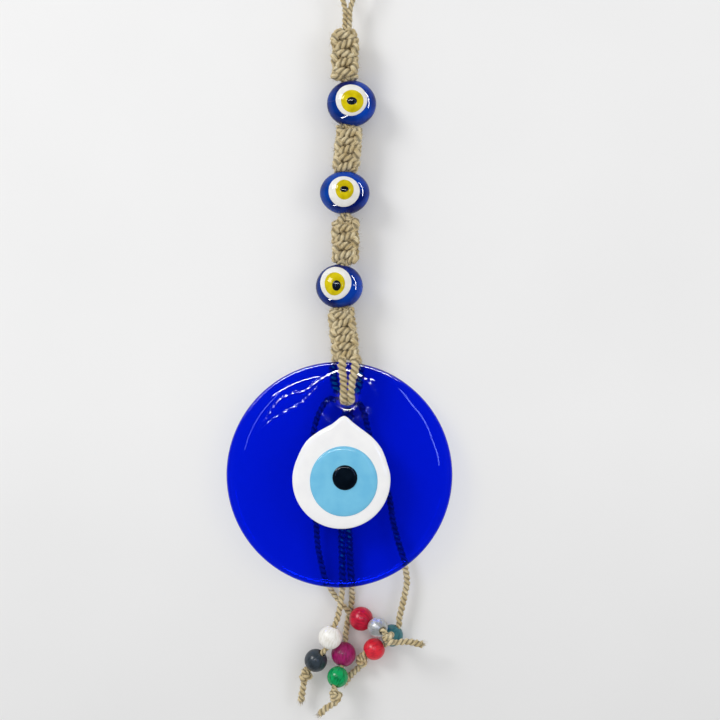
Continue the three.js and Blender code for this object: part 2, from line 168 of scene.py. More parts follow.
def buildRoom():  # a white room, with only its dim camera end for polished surfaces to mirror
    world = bpy.data.worlds.new("paleRoom")
    scene.world = world
    world.use_nodes = True
    tree = world.node_tree
    tree.nodes.clear()
    place = addNode(tree, "ShaderNodeTexCoord")
    axes = addNode(tree, "ShaderNodeSeparateXYZ", {}, {0: place.outputs["Generated"]})
    towards = addNode(tree, "ShaderNodeMath", {"operation": "MULTIPLY", 1: -1.0}, {0: axes.outputs["Y"]})
    dimEnd = addNode(tree, "ShaderNodeMapRange", {
        "interpolation_type": "SMOOTHSTEP", "From Min": room["edge"][0], "From Max": room["edge"][1],
        "To Min": room["mirrored"], "To Max": room["gloom"]}, {"Value": towards.outputs[0]})
    path = addNode(tree, "ShaderNodeLightPath")
    mirrored = addNode(tree, "ShaderNodeMath", {"operation": "SUBTRACT", "use_clamp": True},
                       {0: path.outputs["Is Glossy Ray"], 1: path.outputs["Is Transmission Ray"]})
    white = addNode(tree, "ShaderNodeBackground", {"Strength": room["wallLight"]})
    mirror = addNode(tree, "ShaderNodeBackground", {}, {"Strength": dimEnd.outputs[0]})
    for node in (white, mirror):
        node.inputs["Color"].default_value = (1, 1, 1, 1)
    mix = addNode(tree, "ShaderNodeMixShader", {}, {0: mirrored.outputs[0], 1: white.outputs[0],
                                                    2: mirror.outputs[0]})
    addNode(tree, "ShaderNodeOutputWorld", {}, {"Surface": mix.outputs[0]})


buildRoom()


def wallPaint():  # flat white emulsion, with painted shade that darkens it towards the bottom and painted grey where it is seen in reflections; clear from behind so that the back can be seen
    material, tree = newMaterial("whiteEmulsion")
    place = addNode(tree, "ShaderNodeTexCoord")
    grain = addNode(tree, "ShaderNodeTexNoise", {"Scale": 9.0, "Detail": 3.0},
                    {"Vector": place.outputs["Object"]})
    paint = addNode(tree, "ShaderNodeValToRGB", {"stops": [(0.3, "#F1F1F1"), (0.7, "#F4F4F4")]},
                    {"Fac": grain.outputs["Fac"]})
    axes = addNode(tree, "ShaderNodeSeparateXYZ", {}, {0: place.outputs["Object"]})
    # painted shade: the paint is multiplied darker towards the bottom of the wall
    height = addNode(tree, "ShaderNodeMapRange", {"From Min": -0.34, "From Max": -0.2},
                     {"Value": axes.outputs["Z"]})
    shade = addNode(tree, "ShaderNodeValToRGB", {"stops": [(0.0, "#F5F5F5"), (1.0, "#FFFFFF")]},
                    {"Fac": height.outputs[0]})
    lit = addNode(tree, "ShaderNodeMix", {"data_type": "RGBA", "blend_type": "MULTIPLY", 0: 1.0},
                  {6: paint.outputs["Color"], 7: shade.outputs["Color"]})
    path = addNode(tree, "ShaderNodeLightPath")
    # painted reflection: to glossy rays the wall is painted grey in place of its white, so polished surfaces
    # mirror it dimmer
    mirrored = addNode(tree, "ShaderNodeMath", {"operation": "SUBTRACT", "use_clamp": True},
                       {0: path.outputs["Is Glossy Ray"], 1: path.outputs["Is Transmission Ray"]})
    colour = addNode(tree, "ShaderNodeMix", {"data_type": "RGBA", 7: hexToLinear(room["wallPaintedReflection"])},
                     {0: mirrored.outputs[0], 6: lit.outputs[2]})
    matt = addNode(tree, "ShaderNodeBsdfDiffuse", {}, {"Color": colour.outputs[2]})
    clear = addNode(tree, "ShaderNodeBsdfTransparent")
    side = addNode(tree, "ShaderNodeNewGeometry")
    mix = addNode(tree, "ShaderNodeMixShader", {}, {0: side.outputs["Backfacing"], 1: matt.outputs[0],
                                                    2: clear.outputs[0]})
    addNode(tree, "ShaderNodeOutputMaterial", {}, {"Surface": mix.outputs[0]})
    return material


wallCorners = [(x * view["wallReach"], view["wallY"], z * view["wallReach"] + view["wallZ"])
               for x, z in ((-1, -1), (1, -1), (1, 1), (-1, 1))]
wall = addMesh("wall", wallCorners, [(0, 1, 2, 3)], wallPaint(), smooth=False)
print("camera, wall and light are in")


# Jute twine
twine = {
    "diameter": 2.2,
    "pitch": 4.6,  # one turn of the two plies
    "plyShare": 0.68,  # a ply's radius over the twine's
    "sides": 20,
    "step": 0.4,
    "hairRadius": 0.036,
}


def juteTwine():  # dry bast fibre, spun and twisted in two plies: pale tops, painted shade darkening the hollows between the plies, a dull broken sheen
    material, tree = newMaterial("juteTwine")
    where = addNode(tree, "ShaderNodeUVMap", {"uv_map": "along"})
    spread = addNode(tree, "ShaderNodeMapping", {"Scale": (9.0, 0.35, 1.0)}, {"Vector": where.outputs["UV"]})
    fibre = addNode(tree, "ShaderNodeTexNoise", {"Scale": 2.4, "Detail": 5.0, "Roughness": 0.65},
                    {"Vector": spread.outputs[0]})
    place = addNode(tree, "ShaderNodeTexCoord")
    patch = addNode(tree, "ShaderNodeTexNoise", {"Scale": 260.0, "Detail": 2.0},
                    {"Vector": place.outputs["Object"]})
    # painted shade: a wave round the twine darkens its colour in the hollows between the two plies
    axes = addNode(tree, "ShaderNodeSeparateXYZ", {}, {0: where.outputs["UV"]})
    turned = addNode(tree, "ShaderNodeMath", {"operation": "MULTIPLY", 1: 4 * math.pi},
                     {0: axes.outputs["X"]})
    crown = addNode(tree, "ShaderNodeMath", {"operation": "COSINE"}, {0: turned.outputs[0]})
    paintedPlyShade = addNode(tree, "ShaderNodeMapRange", {"From Min": -1.0, "From Max": 0.2, "To Min": 0.42,
                                                  "To Max": 1.0},
                     {"Value": crown.outputs[0]})
    straw = addNode(tree, "ShaderNodeValToRGB", {
        "stops": [(0.3, "#8C7956"), (0.42, "#CBBA92"), (0.55, "#EADCB6"), (0.7, "#FFF8E4")]},
        {"Fac": fibre.outputs["Fac"]})
    tone = addNode(tree, "ShaderNodeValToRGB", {"stops": [(0.3, "#DDD2BA"), (0.7, "#FFFFFF")]},
                   {"Fac": patch.outputs["Fac"]})
    colour = addNode(tree, "ShaderNodeMix", {"data_type": "RGBA", "blend_type": "MULTIPLY", 0: 1.0},
                     {6: straw.outputs["Color"], 7: tone.outputs["Color"]})
    # the colour with the painted shade between the plies multiplied in
    plyShadedColour = addNode(tree, "ShaderNodeMix", {"data_type": "RGBA", "blend_type": "MULTIPLY", 0: 1.0},
                    {6: colour.outputs[2], 7: paintedPlyShade.outputs[0]})
    bump = addNode(tree, "ShaderNodeBump", {"Strength": 0.7, "Distance": 0.0003},
                   {"Height": fibre.outputs["Fac"]})
    shader = addNode(tree, "ShaderNodeBsdfPrincipled", {
        "Roughness": 0.88, "Specular IOR Level": 0.25, "Sheen Weight": 0.25, "Sheen Roughness": 0.5},
        {"Base Color": plyShadedColour.outputs[2], "Normal": bump.outputs[0]})
    addNode(tree, "ShaderNodeOutputMaterial", {}, {"Surface": shader.outputs[0]})
    return material


jute = juteTwine()


def distances(route):  # from its start to each point
    return np.concatenate([[0], np.cumsum(np.linalg.norm(np.diff(route, axis=0), axis=1))])


def smoothRoute(points, step=None):  # centripetal Catmull-Rom through the points, then evenly spaced
    p = np.array(points, float)
    q = np.vstack([2 * p[0] - p[1], p, 2 * p[-1] - p[-2]])
    dense = []
    for a, b, c, d in zip(q, q[1:], q[2:], q[3:]):
        t0 = 0.0
        t1 = t0 + math.sqrt(np.linalg.norm(b - a))
        t2 = t1 + math.sqrt(np.linalg.norm(c - b))
        t3 = t2 + math.sqrt(np.linalg.norm(d - c))
        t = np.linspace(t1, t2, 24, endpoint=False)[:, None]
        ab = (t1 - t) / (t1 - t0) * a + (t - t0) / (t1 - t0) * b
        bc = (t2 - t) / (t2 - t1) * b + (t - t1) / (t2 - t1) * c
        cd = (t3 - t) / (t3 - t2) * c + (t - t2) / (t3 - t2) * d
        abc = (t2 - t) / (t2 - t0) * ab + (t - t0) / (t2 - t0) * bc
        bcd = (t3 - t) / (t3 - t1) * bc + (t - t1) / (t3 - t1) * cd
        dense.append((t2 - t) / (t2 - t1) * abc + (t - t1) / (t2 - t1) * bcd)
    dense = np.vstack([*dense, p[-1:]])
    along = distances(dense)
    count = max(3, round(along[-1] / (step or twine["step"])) + 1)
    even = np.linspace(0, along[-1], count)
    return np.stack([np.interp(even, along, dense[:, k]) for k in range(3)], axis=1)


def routeLength(route):
    return float(np.linalg.norm(np.diff(route, axis=0), axis=1).sum())


def framesAlong(route):  # tangent and two normals that don't twist
    tangents = np.gradient(route, axis=0)
    tangents /= np.linalg.norm(tangents, axis=1)[:, None]
    side = np.cross(tangents[0], (0.31, 0.92, 0.23))
    sides = []
    for tangent in tangents:
        side = side - tangent * side.dot(tangent)
        side /= np.linalg.norm(side)
        sides.append(side)
    sides = np.array(sides)
    return tangents, sides, np.cross(tangents, sides)


def newHeap():
    return {"verts": [], "faces": [], "uvs": [], "count": 0}


def heapUp(heap, verts, faces, uvs):
    start = heap["count"]
    heap["verts"].append(verts)
    heap["faces"] += [tuple(i + start for i in face) for face in faces]
    heap["uvs"].append(uvs)
    heap["count"] += len(verts)


def tubeFaces(rings, sides):
    faces = []
    for i in range(rings - 1):
        for j in range(sides):
            k = (j + 1) % sides
            faces.append((i * sides + j, i * sides + k, (i + 1) * sides + k, (i + 1) * sides + j))
    return faces


def closedFaces(rings, sides):  # a tube's, with the last ring joined to the first
    faces = tubeFaces(rings, sides)
    last = (rings - 1) * sides
    for j in range(sides):
        k = (j + 1) % sides
        faces.append((last + j, last + k, k, j))
    return faces


def layRope(heap, route, size=1.0, before=0.0, turn=0.0):  # two plies laid together, cut square
    radius = twine["diameter"] / 2
    ply = twine["plyShare"] * radius
    shift = radius - ply
    sides = twine["sides"]
    spin = 2 * np.pi * np.arange(sides) / sides
    outline = shift * np.abs(np.cos(spin)) + np.sqrt(ply**2 - (shift * np.sin(spin)) ** 2)
    along = before + distances(route)
    _, first, second = framesAlong(route)
    angle = turn - 2 * np.pi * along[:, None] / twine["pitch"] + spin
    swell = 1 + 0.035 * np.sin(along * 1.7 + turn) + 0.025 * np.sin(along * 4.1 + 2 * turn)
    reach = outline * np.asarray(size).reshape(-1, 1) * swell[:, None]
    around = first[:, None] * np.cos(angle)[..., None] + second[:, None] * np.sin(angle)[..., None]
    verts = route[:, None] + around * reach[..., None]
    rings = len(route)
    faces = tubeFaces(rings, sides)
    u = np.arange(sides) / sides
    uvs = []
    for i in range(rings - 1):
        for j in range(sides):
            uvs += [(u[j], along[i]), (u[j] + 1 / sides, along[i]), (u[j] + 1 / sides, along[i + 1]),
                    (u[j], along[i + 1])]
    ends = []
    for ring, order in ((0, -1), (rings - 1, 1)):
        loop = [ring * sides + j for j in range(sides)][::order]
        ends.append(tuple(loop))
        uvs += [(0.1 * j, along[ring]) for j in range(sides)]
    heapUp(heap, verts.reshape(-1, 3), faces + ends, np.array(uvs))


def layFibre(heap, hair, thick=1.0):  # one fibre through five points
    sides = 3
    thin = thick * twine["hairRadius"] * np.linspace(1, 0.45, 5)
    _, a, b = framesAlong(hair)
    spin = 2 * np.pi * np.arange(sides) / sides
    around = a[:, None] * np.cos(spin)[:, None] + b[:, None] * np.sin(spin)[:, None]
    verts = hair[:, None] + around * thin[:, None, None]
    faces = tubeFaces(5, sides) + [(2, 1, 0), (12, 13, 14)]
    heapUp(heap, verts.reshape(-1, 3), faces, np.full((4 * 4 * sides + 6, 2), rng.uniform(0, 1)))


def layHairs(heap, route, count, reach=1.6, size=1.0):  # stray fibres that stand off the twine
    tangents, first, second = framesAlong(route)
    for _ in range(count):
        i = int(rng.integers(1, len(route) - 1))
        angle = rng.uniform(0, 2 * np.pi)
        out = first[i] * math.cos(angle) + second[i] * math.sin(angle)
        forward = tangents[i] * rng.choice((-1, 1))
        lean = rng.uniform(0.4, 1.8)
        bend = rng.normal(0, 0.5, 3)
        far = rng.uniform(0.4, 1.0) * reach
        t = np.linspace(0, 1, 5)[:, None]
        root = route[i] + out * (0.75 * size * twine["diameter"] / 2)
        hair = root + out * far * t * (1 - 0.25 * t) + forward * far * lean * t + bend * far * t**2 * 0.6
        layFibre(heap, hair)


def layBrush(heap, end, way, count):  # cut fibres that stand out of a bare end
    way = way / np.linalg.norm(way)
    for _ in range(count):
        spread = rng.normal(0, 0.55, 3)
        root = end - 0.8 * way + spread
        tip = end + way * rng.uniform(0.3, 1.3) + spread * rng.uniform(1.0, 1.7)
        layFibre(heap, np.linspace(root, tip, 5), 1.5)


def addTwine(name, heap):
    return addMesh(name, np.vstack(heap["verts"]), heap["faces"], jute, np.vstack(heap["uvs"]))


# The disc, and places from the CAD frame
disc = {"radius": 50.0, "half": 3.0, "bevel": 9.5, "bevelDrop": 1.7, "edge": 1.3, "holeShift": 3.5,
        "holeInset": 16,
        "holeRadius": 4.25, "lip": 1.6, "frontLip": 1.1, "backLip": 0.9, "backRound": 0.6, "waist": 0.9}
discMiddle = boxMiddle("disc_glass")
discTop = discMiddle[2] + disc["radius"]
hole = np.array((discMiddle[0] + disc["holeShift"], 0, discTop - disc["holeInset"]))
holeAt = np.array((disc["holeShift"], disc["radius"] - disc["holeInset"]))  # from the disc's middle
tailReach = disc["radius"] + 0.5  # where a tail passes the disc's edge
strandOffset = 1.15  # from the middle of two strands side by side
eyeBeads = [
    {"width": 21.6, "height": 20.4, "x": 1.1, "z": -61.9, "threadX": -0.8},
    {"width": 21.8, "height": 19.1, "x": -1.8, "z": -101.35, "threadX": -1.5},
    {"width": 20.8, "height": 19.5, "x": -4.2, "z": -142.75, "threadX": -2.5},
]

# Hanging loop
loop = {"shift": -0.9, "drop": 29.7, "thick": 1.16}
loopSide = [(1.0, -0.99), (1.0, -0.842), (1.1, -0.69), (2.2, -0.539), (4.2, -0.37), (5.6, -0.202),
            (4.4, -0.04)]


def buildLoop():
    def leg(side):
        return [(-loop["shift"] * share + side * x, 0, share * loop["drop"]) for x, share in loopSide]
    points = [*leg(-1), (0, 0, twine["diameter"] / 2), *leg(1)[::-1]]
    route = smoothRoute(points)
    heap = newHeap()
    layRope(heap, route, loop["thick"])
    layHairs(heap, route, 260, size=loop["thick"])
    piece = addTwine("hanging_loop_twine", heap)
    settle(piece, "hanging_loop", "jute")


# Knotted bands: square knots tied round two core strands. Each half
# knot brings strand A across the front and strand B across the back.
bands = [
    {"top": -29.7, "bottom": -51.3, "firstKnot": -32.0, "pitch": 4.1, "halfKnots": 5, "lean": (-1.7, -1.9)},
    {"top": -72.9, "bottom": -91.4, "firstKnot": -75.2, "pitch": 3.7, "halfKnots": 5, "lean": (0.3, -1.5)},
    {"top": -111.7, "bottom": -132.6, "firstKnot": -117.2, "pitch": 3.9, "halfKnots": 4,
     "lean": (-1.5, -1.6)},
    {"top": -153.3, "bottom": -174.5, "firstKnot": -155.4, "pitch": 3.45, "halfKnots": 6,
     "lean": (-3.4, -1.2)},
]
knot = {"turnX": 4.4, "bumpX": 4.3, "frontY": -2.7, "backY": 2.7, "bumpY": -2.6, "thick": 1.78,
        "barSlope": 0.7,
        "coreX": 1.7, "coreY": -0.5, "coreThick": 1.8}
pivots = [-72.1, -110.9, -152.5, -174.5]  # where the hanging bends between bodies
bendReach = 0.9


def middleLine():
    zs, xs = [], []
    for i, band in enumerate(bands):
        zs += [band["top"] - 0.6, band["bottom"] + 0.4]
        xs += list(band["lean"])
        if i < 3:
            bead = eyeBeads[i]
            zs += [band["bottom"] - 1.0, bands[i + 1]["top"] + 0.5]
            xs += [bead["threadX"], bead["threadX"]]
    return np.array(zs[::-1]), np.array(xs[::-1])


lineZ, lineX = middleLine()


def onLine(x, y, z):
    return (float(np.interp(z, lineZ, lineX)) + x, y, z)


def strandRoutes():
    a = [onLine(-0.2, 2.3, -31.4), onLine(-2.2, 1.2, -31.4)]
    b = [onLine(0.2, 2.3, -31.5), onLine(2.2, 1.2, -31.6)]
    side = 1  # strand A crosses from -side to side
    for i, band in enumerate(bands):
        pitch = band["pitch"]
        if i:
            lead = band["firstKnot"] + pitch / 2 + 0.8
            a.append(onLine(-side * 2.6, -1.1, lead))
            b.append(onLine(side * 2.6, -1.1, lead))
        for k in range(band["halfKnots"]):
            z = band["firstKnot"] - k * pitch
            slope = knot["barSlope"] * rng.uniform(0.5, 1.4)
            nudge = rng.normal(0, 0.16, 6)
            # The first knot is drawn in to a round shoulder
            out, rise = (1.0, 0.5 * pitch) if i or k else (0.72, 0.6)
            a += [onLine(-side * knot["turnX"] * out + nudge[0], -0.5, z + rise),
                  onLine(-side * 3.0, -2.2, z + slope),
                  onLine(nudge[1], knot["frontY"] + nudge[2], z + nudge[3]),
                  onLine(side * 3.0, -2.2, z - slope)]
            b += [onLine(side * knot["bumpX"] * out + nudge[4], knot["bumpY"] + nudge[5], z + 1.5 * rise),
                  onLine(side * knot["bumpX"] * out + nudge[4], knot["bumpY"] - nudge[5], z + 0.6 * rise),
                  onLine(side * 3.5, 0.7, z + 0.1), onLine(0, knot["backY"], z),
                  onLine(-side * 3.5, 0.7, z - 0.3)]
            side = -side
        z = band["firstKnot"] - (band["halfKnots"] - 0.5) * pitch
        a.append(onLine(-side * 4.4, -0.6, z))
        b.append(onLine(side * 4.2, knot["bumpY"], z))
        if i < 3:
            for level in (band["bottom"] + 0.2, eyeBeads[i]["z"], bands[i + 1]["top"] + 0.4):
                a.append(onLine(-side * strandOffset, -strandOffset, level))
                b.append(onLine(side * strandOffset, -strandOffset, level))
    cores = []
    for x in (-1, 1):
        core = [onLine(x * strandOffset, 0, -29.9)]
        for i, band in enumerate(bands):
            core += [onLine(x * knot["coreX"], knot["coreY"], z)
                     for z in np.linspace(band["top"] - 1, band["bottom"] + 1, 5)]
            if i < 3:
                core += [onLine(x * strandOffset, strandOffset, z)
                         for z in (band["bottom"] - 0.5, eyeBeads[i]["z"], bands[i + 1]["top"] + 0.5)]
        cores.append(core)
    return {"A": a, "B": b, "coreLeft": cores[0], "coreRight": cores[1], "side": side}


# Below the last band two strands pass in front of the glass and into its hole, and two behind it
roundDisc = {
    "frontLeft": [(-2.2, -3.9, 16.6), (-2.3, -4.6, 13.2), (-1.6, -4.7, 8), (-1.6, -4.6, 2.6),
                  (-1.6, -2.6, -0.9),
                  (-1.5, 0.3, -1.2), (-1.4, 3.6, -1.6), (-1.0, 6.3, -3.0)],
    "frontRight": [(3.4, -3.9, 16.6), (3.4, -4.5, 13.2), (2.2, -4.7, 8), (1.6, -4.6, 2.6), (1.6, -2.6, -0.9),
                   (1.5, 0.3, -1.2), (1.4, 3.6, -1.6), (1.0, 6.3, -3.0)],
    "backLeft": [(-5.2, 3.9, 16.6), (-6.2, 4.5, 13.6), (-6.0, 4.5, 8), (-4.6, 4.6, 3), (-3.3, 5.1, 0.4),
                 (-1.6, 6.1, -2.4)],
    "backRight": [(4.6, 3.9, 16.6), (5.4, 4.5, 13.6), (5.4, 4.5, 8), (4.4, 4.6, 3), (3.3, 5.1, 0.4),
                  (1.6, 6.1, -2.4)],
}


def fromHole(points):
    return [tuple(hole + np.array(p)) for p in points]


def buildStrands():
    strands = strandRoutes()
    left, right = ("A", "B") if strands["side"] == 1 else ("B", "A")
    ways = {"coreLeft": "frontLeft", "coreRight": "frontRight", left: "backLeft", right: "backRight"}
    cuts = [z + d for z in pivots for d in (bendReach, -bendReach)]
    boreZ, boreShare = [-400.0], [1.0]
    for i in (2, 1, 0):
        boreZ += [bands[i + 1]["top"] - 1.0, bands[i + 1]["top"], bands[i]["bottom"],
                  bands[i]["bottom"] + 1.0]
        boreShare += [1.0, 0.0, 0.0, 1.0]
    heaps = [newHeap() for _ in range(len(cuts) + 1)]
    for number, (name, way) in enumerate(ways.items()):
        route = smoothRoute([*strands[name], *fromHole(roundDisc[way])])
        along = distances(route)
        marks = [0]
        for cut in cuts:
            marks.append(int(np.argmax(route[:, 2] < cut)))
        marks.append(len(route) - 1)
        thick = knot["thick"] if name in "AB" else 1.0
        for heap, start, stop in zip(heaps, marks, marks[1:]):
            part = route[start : stop + 1]
            inBore = np.interp(part[:, 2], boreZ, boreShare)  # strands are squeezed thin inside the beads
            thickness = 1 + (thick - 1) * inBore
            if name.startswith("core"):
                drop = np.interp(part[:, 2], (hole[2], hole[2] + 6, discTop, discTop + 3),
                                 (1.6, 1.6, 1.9, knot["coreThick"]))
                thickness = drop * inBore + 1 - inBore
            layRope(heap, part, thickness, along[start], 1.3 * number)
            layHairs(heap, part, int(5.0 * (along[stop] - along[start])), reach=2.1, size=thick)
    names = ["band_1_twine", "bend_1_twine", "band_2_twine", "bend_2_twine", "band_3_twine", "bend_3_twine",
             "band_4_twine", "bend_4_twine", "disc_twine"]
    owners = ["sennit_1", None, "sennit_2", None, "sennit_3", None, "sennit_4", None, "front_cord_left"]
    for i, (name, heap, owner) in enumerate(zip(names, heaps, owners)):
        piece = addTwine(name, heap)
        if owner is None:
            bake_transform(piece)
        elif owner == "front_cord_left":
            settle(piece, owner, "jute", "front_cord_right", "back_cord_left", "back_cord_right")
        else:
            settle(piece, owner, "jute", owner.replace("sennit", "core"))


def overhand(start, along, length, lean, turn):  # route of a tight overhand knot
    along = np.array(along, float) / np.linalg.norm(along)
    across = np.cross(along, (0, 1, 0))
    across /= np.linalg.norm(across)
    third = np.cross(along, across)
    points = [(0, 0, -0.2), (0.15, 0, 0.25 * length), (-0.35, 0.2, 0.62 * length), (0.2, 0.3, 0.86 * length)]
    wrap = 1.75
    for t in np.linspace(0, 1, 13)[1:]:
        angle = turn + 2 * math.pi * 1.35 * t
        points.append((wrap * math.cos(angle), wrap * math.sin(angle),
                       length * (0.78 - 0.55 * t) + lean * wrap * math.sin(angle)))
    last = turn + 2 * math.pi * 1.35
    points += [(0.9 * math.cos(last + 0.7), 0.9 * math.sin(last + 0.7), 0.5 * length),
               (0.4 * math.cos(last + 0.7), 0.4 * math.sin(last + 0.7), 0.85 * length)]
    return [start + across * x + third * y + along * z for x, y, z in points]


backKnot = {"halfWidth": 2.7, "halfHeight": 2.3, "halfDepth": 1.3, "y": 6.2, "drop": 3.6,
            "turns": (0.0, 1.9, 3.6)}


def buildBackKnot():
    heap = newHeap()
    for k, turn in enumerate(backKnot["turns"]):
        points = []
        for t in np.linspace(0, 1, 22):
            angle = turn + 2 * math.pi * 1.15 * t
            points.append((
                hole[0] + backKnot["halfWidth"] * math.cos(angle) * (0.82 + 0.18 * math.cos(2 * angle + k)),
                backKnot["y"] + backKnot["halfDepth"] * math.sin(angle + 0.8 * k),
                hole[2] - backKnot["drop"] + backKnot["halfHeight"] * math.sin(angle)
                - 0.6 * k + 1.2 * (t - 0.5)))
        route = smoothRoute(points)
        layRope(heap, route, turn=turn)
        layHairs(heap, route, 20)
    settle(addTwine("back_knot_twine", heap), "back_knot", "jute")


# Tails
discLow = np.array((discMiddle[0], 0, discMiddle[2] - tailReach))
# thick is a tail's size behind the glass: for tails 1 to 3 it is more than where they hang free, partly the
# twine and partly a stand-in for shade, as the extra girth darkens the glass like the shadows the cords cast
# on the wall behind
tails = [
    {
        "edgeX": -4.75, "edgeY": 6.4, "thick": 1.3, "free": 1.15,
        "behind": [(-5, 5.5, -1.6), (-7.9, 5, -0.4), (-11.3, 4.6, -4.1), (-15.2, 4.5, -15.7),
                   (-15.2, 4.5, -36),
                   (-13.9, 4.5, -56), (-13, 4.9, -67.1)],
        "lead": [(-0.45, 5.9, -5.98), (2.45, 5.6, -9.28), (4.85, 5.75, -12.08)],
        "beads": [("wood_bead_red", 10.6, (0.85, -0.42, -0.31), 0.3),
                  ("wood_bead_silver", 8.9, (0.55, -0.81, -0.21), 0.5)],
        "knot": ((0.65, -0.2, -0.73), 1.0),
        "end": [(3.5, 0.1, -0.6), (8, 1.2, -1.7), (14.5, 2.8, -3.3)],
    },
    {
        "edgeX": 1.23, "edgeY": 4.4, "thick": 1.55, "free": 1.3,
        "behind": [(-1.7, 6, -7.7), (-2.7, 4.8, -12.5), (-2.7, 4.6, -38), (-2.4, 4.6, -68)],
        "lead": [(0.88, 3.3, -4.18), (0.13, 2.2, -8.58), (-0.87, 1, -12.98), (-2.17, -0.2, -16.18)],
        "beads": [("wood_bead_white", 10.5, (-0.34, 0, -0.94), 0.3),
                  ("wood_bead_black", 10.1, (-0.6, 0.3, -0.74), 2.7)],
        "knot": ((-0.35, 0, -0.93), 0.4),
        "end": [(-0.9, 0, -3.5), (-1.8, 0.3, -7.4), (-2.4, 0.6, -11.5)],
    },
    {
        "edgeX": 5.45, "edgeY": 6.9, "thick": 1.55, "free": 1.3,
        "behind": [(1.6, 6, -7.7), (1.0, 4.8, -12.5), (0.3, 4.6, -38), (1.0, 4.8, -68)],
        "lead": [(5.55, 8.3, -5.1), (4.85, 8.35, -10.4), (3.65, 8.2, -15.7), (2.75, 7.2, -20.9),
                 (2.65, 5.95, -24.3)],
        "beads": [("wood_bead_purple", 11, (-0.15, -0.35, -0.925), 0.3),
                  ("wood_bead_green", 9.4, (-0.35, -0.42, -0.84), 0.3)],
        "knot": ((0.25, -0.1, -0.96), 0.9),
        "end": [(-1.7, 0.3, -3.1), (-4.4, 0.6, -5.7), (-7.2, 0.9, -8.4)],
    },
    {
        "edgeX": 29.11, "edgeY": 4.4, "thick": 1.35, "free": 1.4,
        "behind": [(5.3, 5.6, -2.4), (6.8, 5, -5), (9.6, 4.6, -15.7), (18.4, 4.5, -43.6), (20.6, 4.5, -56)],
        "lead": [(30.01, 4.4, 2.93), (29.01, 4.4, -3.27), (27.71, 4.4, -9.07), (26.61, 4.4, -13.97),
                 (26.51, 4.4, -17.27)],
        "beads": [("wood_bead_teal", 9.8, (-0.6, 0, -0.8), 0.3),
                  ("wood_bead_scarlet", 9.6, (-0.92, -0.1, -0.38), 0.7)],
        "knot": ((-0.3, 0.25, -0.92), 0.9),
        "end": [(-1.8, 0.6, -2.9), (-4.8, 2.7, -6.8), (-7.5, 4.1, -10.5)],
    },
]
stopperLength = 6.0
beadPlaces = {}  # name: (middle, axis, diameter)


def buildTails():
    for number, tail in enumerate(tails, 1):
        edgeZ = discMiddle[2] - math.sqrt(tailReach**2 - tail["edgeX"] ** 2)
        edge = np.array((discMiddle[0] + tail["edgeX"], tail["edgeY"], edgeZ))
        lead = [discLow + np.array(p) for p in tail["lead"]]
        points = [*fromHole(tail["behind"]), edge, *lead]
        mouth = lead[-1]
        for name, diameter, axis, spacer in tail["beads"]:
            axis = np.array(axis) / np.linalg.norm(axis)
            centre = mouth + axis * (spacer + diameter / 2)
            beadPlaces[name] = (centre, axis, diameter)
            mouth = centre + axis * diameter / 2
            points += [centre - axis * diameter / 2, centre, mouth]
        knotAxis, spacer = tail["knot"]
        knotAxis = np.array(knotAxis) / np.linalg.norm(knotAxis)
        knotStart = mouth + knotAxis * spacer
        points.append(knotStart + knotAxis * 0.5)
        route = smoothRoute(points)
        heap = newHeap()
        atMouth = int(np.argmin(np.linalg.norm(route - lead[-1], axis=1)))
        atEdge = int(np.argmin(np.linalg.norm(route - edge, axis=1)))
        # behind the glass the twine takes its thick size, swollen in part to stand in for its shadow on the
        # wall
        thickness = np.interp(np.arange(len(route)), (atEdge - 4, atEdge + 4, atMouth - 8, atMouth),
                              (tail["thick"], tail["free"], tail["free"], 1.15))
        layRope(heap, route, thickness, 0.0, 0.9 * number)
        layHairs(heap, route, int(2.4 * routeLength(route)), reach=1.2)
        piece = addTwine(f"tail_{number}_twine", heap)
        way = route[atEdge + 3] - route[atEdge - 3]
        way /= np.linalg.norm(way)
        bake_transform(piece)
        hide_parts(f"tail_{number}_upper", f"tail_{number}_cord")

        knotPoints = overhand(knotStart, knotAxis, stopperLength, 0.5, 0.8 * number)
        knotMiddle = knotStart + knotAxis * stopperLength / 2
        end = [knotMiddle + np.array(p) for p in tail["end"]]
        knotRoute = smoothRoute([*knotPoints, *end[1:]])
        knotHeap = newHeap()
        loose = np.linspace(0, 1, len(knotRoute))
        fray = np.interp(loose, (0, 0.08, 0.62, 0.75, 1), (1.0, 1.12, 1.12, 1.3, 1.55))
        layRope(knotHeap, knotRoute, fray, 0.0, 0.4 * number)
        layHairs(knotHeap, knotRoute, 110)
        layBrush(knotHeap, knotRoute[-1], knotRoute[-1] - knotRoute[-4], 90)
        knotPiece = settle(addTwine(f"tail_{number}_stopper", knotHeap), f"tail_{number}_knot", "jute",
                           f"tail_{number}_end")
        tail["declare"] = (piece, route, knotPiece)


buildLoop()
buildStrands()
buildBackKnot()
buildTails()
print("twine is laid")


